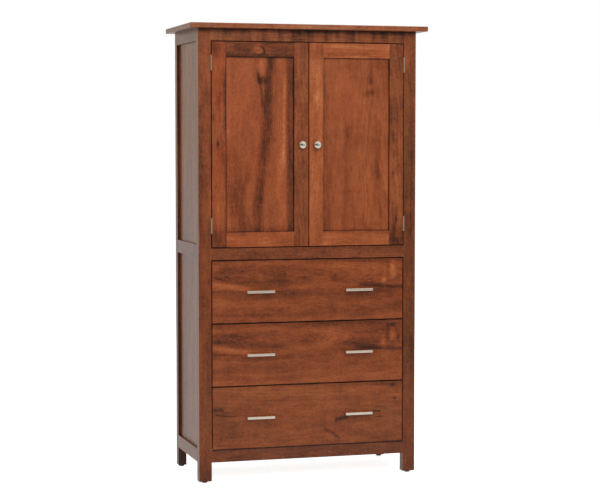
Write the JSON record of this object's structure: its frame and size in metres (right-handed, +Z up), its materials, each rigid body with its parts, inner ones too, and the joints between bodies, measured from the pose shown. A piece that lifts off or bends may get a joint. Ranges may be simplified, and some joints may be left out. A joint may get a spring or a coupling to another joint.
{
  "type": "armoire",
  "caption": "Tall wooden armoire: framed double doors over shelves, full-width drawers with bar pulls below, on short square legs.",
  "frame": {"origin": "on the floor, below the middle of the top board", "axes": "+X to the right seen from the front, +Y to the back, +Z up"},
  "size_m": [0.988, 0.465, 1.829],
  "materials": {
    "stained_wood": "reddish-brown stain, satin lacquer",
    "drawer_box_wood": "clear-finished pale wood",
    "satin_nickel": "satin nickel",
    "zinc_steel": "bright zinc",
    "glide_plastic": "dark nylon",
    "catch_plastic": "brown plastic"
  },
  "bodies": {
    "case": {"top_board": "stained_wood", "front_left_post": "stained_wood", "front_right_post": "stained_wood", "rear_left_post": "stained_wood", "rear_right_post": "stained_wood", "side_rails": "stained_wood", "side_panels": "stained_wood", "front_bottom_rail": "stained_wood", "front_middle_rail": "stained_wood", "front_top_rail": "stained_wood", "back_rails": "stained_wood", "back_panels": "stained_wood", "foot_glides": "glide_plastic", "cupboard_floor": "stained_wood", "adjustable_shelves": "stained_wood", "shelf_pins": "satin_nickel", "shelf_standards": "stained_wood", "frame_hinge_leaves": "satin_nickel", "hinge_pins": "satin_nickel", "door_catch": "catch_plastic", "case_screws": "satin_nickel", "slide_cleats": "drawer_box_wood", "slide_case_members": "zinc_steel"},
    "left_door": {"left_door_hinge_stile": "stained_wood", "left_door_lock_stile": "stained_wood", "left_door_top_rail": "stained_wood", "left_door_bottom_rail": "stained_wood", "left_door_panel": "stained_wood", "left_door_knob": "satin_nickel", "left_door_hinge_leaves": "satin_nickel", "left_door_fasteners": "satin_nickel"},
    "right_door": {"right_door_hinge_stile": "stained_wood", "right_door_lock_stile": "stained_wood", "right_door_top_rail": "stained_wood", "right_door_bottom_rail": "stained_wood", "right_door_panel": "stained_wood", "right_door_knob": "satin_nickel", "right_door_hinge_leaves": "satin_nickel", "right_door_fasteners": "satin_nickel"},
    "bottom_drawer": {"bottom_drawer_front": "stained_wood", "bottom_drawer_sides": "drawer_box_wood", "bottom_drawer_back": "drawer_box_wood", "bottom_drawer_bottom": "drawer_box_wood", "bottom_drawer_pulls": "satin_nickel", "bottom_drawer_slide_members": "zinc_steel"},
    "bottom_slide_middle": {"bottom_slide_middle_members": "zinc_steel"},
    "middle_drawer": {"middle_drawer_front": "stained_wood", "middle_drawer_sides": "drawer_box_wood", "middle_drawer_back": "drawer_box_wood", "middle_drawer_bottom": "drawer_box_wood", "middle_drawer_pulls": "satin_nickel", "middle_drawer_slide_members": "zinc_steel"},
    "middle_slide_middle": {"middle_slide_middle_members": "zinc_steel"},
    "top_drawer": {"top_drawer_front": "stained_wood", "top_drawer_sides": "drawer_box_wood", "top_drawer_back": "drawer_box_wood", "top_drawer_bottom": "drawer_box_wood", "top_drawer_pulls": "satin_nickel", "top_drawer_slide_members": "zinc_steel"},
    "top_slide_middle": {"top_slide_middle_members": "zinc_steel"}
  },
  "joints": [
    {"name": "left_door_hinge", "type": "hinge", "parent": "case", "child": "left_door", "pos_m": [-0.40295, -0.1977, 1.3505], "axis": [0, 0, -1], "range_deg": [0, 170]},
    {"name": "right_door_hinge", "type": "hinge", "parent": "case", "child": "right_door", "pos_m": [0.40295, -0.1977, 1.3505], "axis": [0, 0, 1], "range_deg": [0, 170]},
    {"name": "top_drawer_slide", "type": "slide", "parent": "case", "child": "top_drawer", "axis": [0, -1, 0], "range_m": [0, 0.33]},
    {"name": "top_slide_extension", "type": "slide", "parent": "case", "child": "top_slide_middle", "axis": [0, -1, 0], "range_m": [0, 0.165]},
    {"name": "middle_drawer_slide", "type": "slide", "parent": "case", "child": "middle_drawer", "axis": [0, -1, 0], "range_m": [0, 0.33]},
    {"name": "middle_slide_extension", "type": "slide", "parent": "case", "child": "middle_slide_middle", "axis": [0, -1, 0], "range_m": [0, 0.165]},
    {"name": "bottom_drawer_slide", "type": "slide", "parent": "case", "child": "bottom_drawer", "axis": [0, -1, 0], "range_m": [0, 0.33]},
    {"name": "bottom_slide_extension", "type": "slide", "parent": "case", "child": "bottom_slide_middle", "axis": [0, -1, 0], "range_m": [0, 0.165]}
  ],
  "couplings": [
    {"joint": "top_slide_extension", "follows": "top_drawer_slide", "ratio": 0.5},
    {"joint": "middle_slide_extension", "follows": "middle_drawer_slide", "ratio": 0.5},
    {"joint": "bottom_slide_extension", "follows": "bottom_drawer_slide", "ratio": 0.5}
  ]
}
